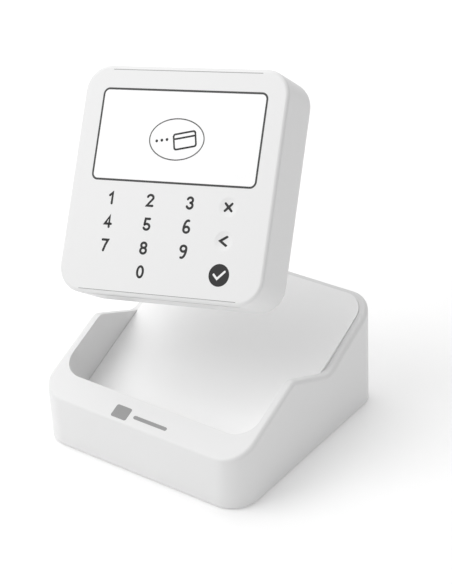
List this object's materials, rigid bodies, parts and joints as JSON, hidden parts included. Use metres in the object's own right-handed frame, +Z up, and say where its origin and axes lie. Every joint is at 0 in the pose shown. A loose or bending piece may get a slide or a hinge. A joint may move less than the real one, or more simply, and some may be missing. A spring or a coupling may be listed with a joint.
{
  "type": "card payment terminal",
  "caption": "Compact square card reader with display and touch keypad, with its wedge-shaped charging cradle; the reader lifts off the sloping bed",
  "frame": {"origin": "centre of the underside of the cradle's base pad, where it stands on a counter", "axes": "+X right, -Y the front lip of the cradle, +Y its high back edge, +Z up"},
  "size_m": [0.1082, 0.094, 0.136],
  "materials": {
    "cradle_white": "satin",
    "bed_white": "satin",
    "reader_white": "satin",
    "screen_gloss": "gloss",
    "dark_plastic": "matt",
    "pad_rubber": "matt",
    "screw_steel": "satin",
    "weight_steel": "satin",
    "gold_contact": "polished",
    "antenna_copper": "satin",
    "circuit_board": "satin",
    "battery_wrap": "satin"
  },
  "bodies": {
    "cradle": {"cradle_shell": "cradle_white", "cradle_bed": "bed_white", "charge_pin_block": "dark_plastic", "cradle_base_plate": "dark_plastic", "base_pad": "pad_rubber", "base_screws": "screw_steel", "cradle_weight": "weight_steel", "cradle_pcb": "circuit_board", "power_inlet": "screw_steel"},
    "charge_pins": {"charge_pins": "gold_contact"},
    "reader": {"reader_housing": "reader_white", "display_window": "screen_gloss", "lcd_panel": "dark_plastic", "nfc_antenna": "antenna_copper", "touch_film": "dark_plastic", "card_guide": "dark_plastic", "card_contacts": "gold_contact", "main_pcb": "circuit_board", "shield_can": "screw_steel", "backup_cell": "screw_steel", "buzzer": "dark_plastic", "battery": "battery_wrap", "reader_port": "screw_steel", "button_switch": "dark_plastic", "rear_gasket": "pad_rubber", "rear_cover": "reader_white", "rear_screws": "screw_steel", "charge_contacts": "gold_contact"},
    "power_button": {"power_button": "reader_white"}
  },
  "joints": [
    {"name": "reader_lift", "type": "hinge", "parent": "cradle", "child": "reader", "pos_m": [0, -0.06782, 0.09707], "axis": [0.9206, -0.1356, 0.3663], "range_deg": [-31.2, 0]},
    {"name": "pin_travel", "type": "slide", "parent": "cradle", "child": "charge_pins", "axis": [0, -0.4226, 0.9063], "range_m": [-0.0007, 0], "stiffness_N_per_m": 300},
    {"name": "button_press", "type": "slide", "parent": "reader", "child": "power_button", "axis": [0.9779, 0.1719, 0.1192], "range_m": [0, 0.0004], "stiffness_N_per_m": 500}
  ]
}
